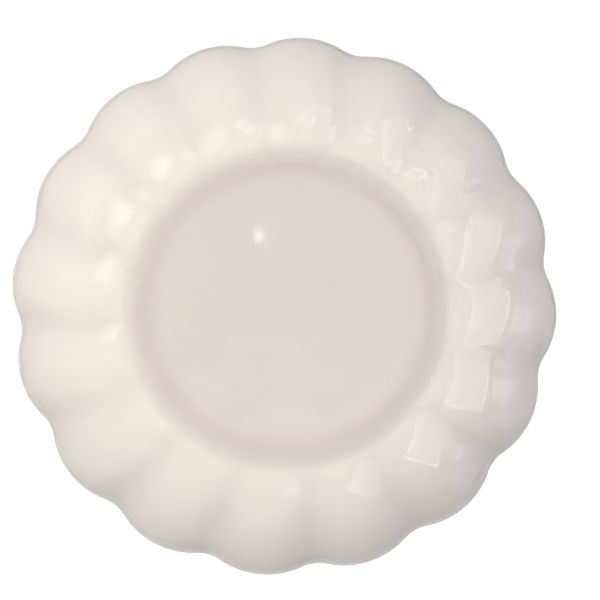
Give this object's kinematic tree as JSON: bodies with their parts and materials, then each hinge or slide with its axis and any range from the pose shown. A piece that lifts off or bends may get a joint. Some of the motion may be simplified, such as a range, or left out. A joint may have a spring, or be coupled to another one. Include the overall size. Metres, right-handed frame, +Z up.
{
  "type": "dessert plate",
  "caption": "Round ivory china dessert plate with a flat well, a curved wall of radial scalloped lobes, a rounded lip and a ring foot, for serving cake or fruit.",
  "frame": {"origin": "centre of the foot ring, in the plane of its standing edge", "axes": "+Z up along the plate's axis, +X through the tip of a lobe"},
  "size_m": [0.2032, 0.2032, 0.025],
  "materials": {
    "china": "fired bone china, translucent, fine and matt where it is bare",
    "glaze": "clear gloss glaze over ivory china"
  },
  "bodies": {
    "root": {"china_body": "china", "glaze_skin": "glaze", "recess_glaze": "glaze"}
  },
  "joints": []
}
